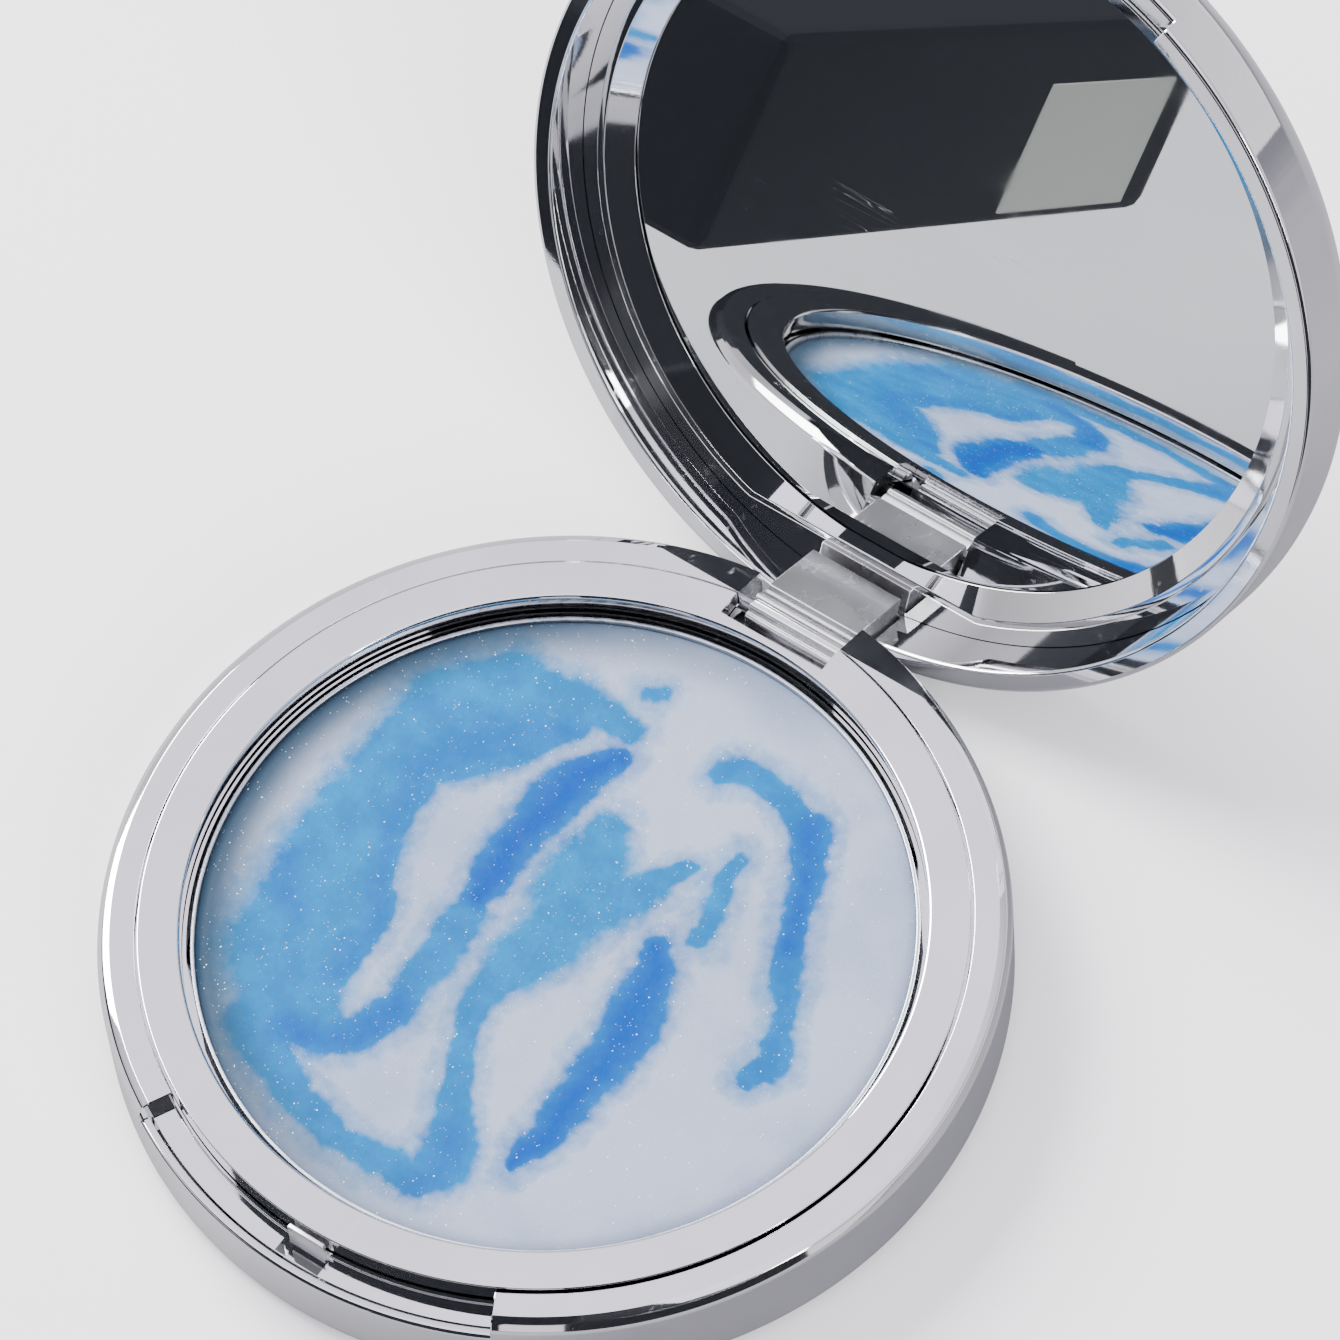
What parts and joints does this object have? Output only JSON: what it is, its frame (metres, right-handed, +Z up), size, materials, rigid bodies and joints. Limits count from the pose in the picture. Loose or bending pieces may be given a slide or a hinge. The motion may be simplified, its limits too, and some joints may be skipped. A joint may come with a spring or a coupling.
{
  "type": "powder compact",
  "caption": "Round hinged cosmetic compact, open: plated base with thumb notch and flat ring round a jelly-filled pan, and a deep lid with a recessed mirror on a friction hinge.",
  "frame": {"origin": "centre of the flat underside of the base", "axes": "+Z up out of the base, +Y towards the hinge, -Y towards the thumb notch, X along the hinge pin"},
  "size_m": [0.0756, 0.1134, 0.0706],
  "materials": {
    "plated_shell": "mirror-bright electroplate on moulded plastic",
    "plated_satin": "satin electroplate on moulded plastic",
    "pan_metal": "drawn, bare",
    "adhesive_foam": "double-sided foam tape",
    "jelly": "pale pearl jelly with blue swirls and fine glitter",
    "pin_steel": "drawn wire",
    "mirror_glass": "silvered float glass"
  },
  "bodies": {
    "base": {"base_shell": "plated_shell", "base_plate": "plated_satin", "pan_ring": "plated_shell", "pan": "pan_metal", "pan_pad": "adhesive_foam", "highlighter_fill": "jelly", "front_catch": "plated_satin", "hinge_pin": "pin_steel"},
    "lid": {"lid_shell": "plated_shell", "mirror_frame": "plated_shell", "mirror": "mirror_glass", "mirror_pad": "adhesive_foam", "hinge_tongue": "plated_satin", "lid_hook": "plated_satin"}
  },
  "joints": [
    {"name": "lid_hinge", "type": "hinge", "parent": "base", "child": "lid", "pos_m": [0, 0.0354, 0.0061], "axis": [1, 0, 0], "range_deg": [-3, 114]}
  ]
}
